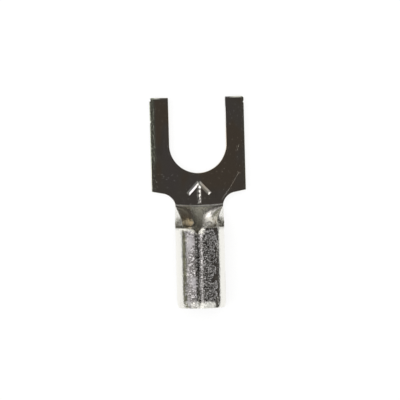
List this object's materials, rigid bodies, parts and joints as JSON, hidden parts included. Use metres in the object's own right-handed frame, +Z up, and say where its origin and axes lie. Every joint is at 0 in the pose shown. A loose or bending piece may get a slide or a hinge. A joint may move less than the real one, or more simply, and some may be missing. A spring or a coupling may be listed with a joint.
{
  "type": "fork terminal",
  "caption": "Bare fork terminal: flat tongue with a U slot for a screw stud, scooped neck and a rolled barrel with a butted seam for a crimped wire.",
  "frame": {"origin": "stud axis at the underside of the tongue", "axes": "+Z up along the stud axis, +Y towards the open end of the fork, +X across the tongue"},
  "size_m": [0.0074, 0.0163, 0.0038],
  "materials": {
    "tinned_copper": "bright tin plate over copper"
  },
  "bodies": {
    "root": {"fork_terminal": "tinned_copper"}
  },
  "joints": []
}
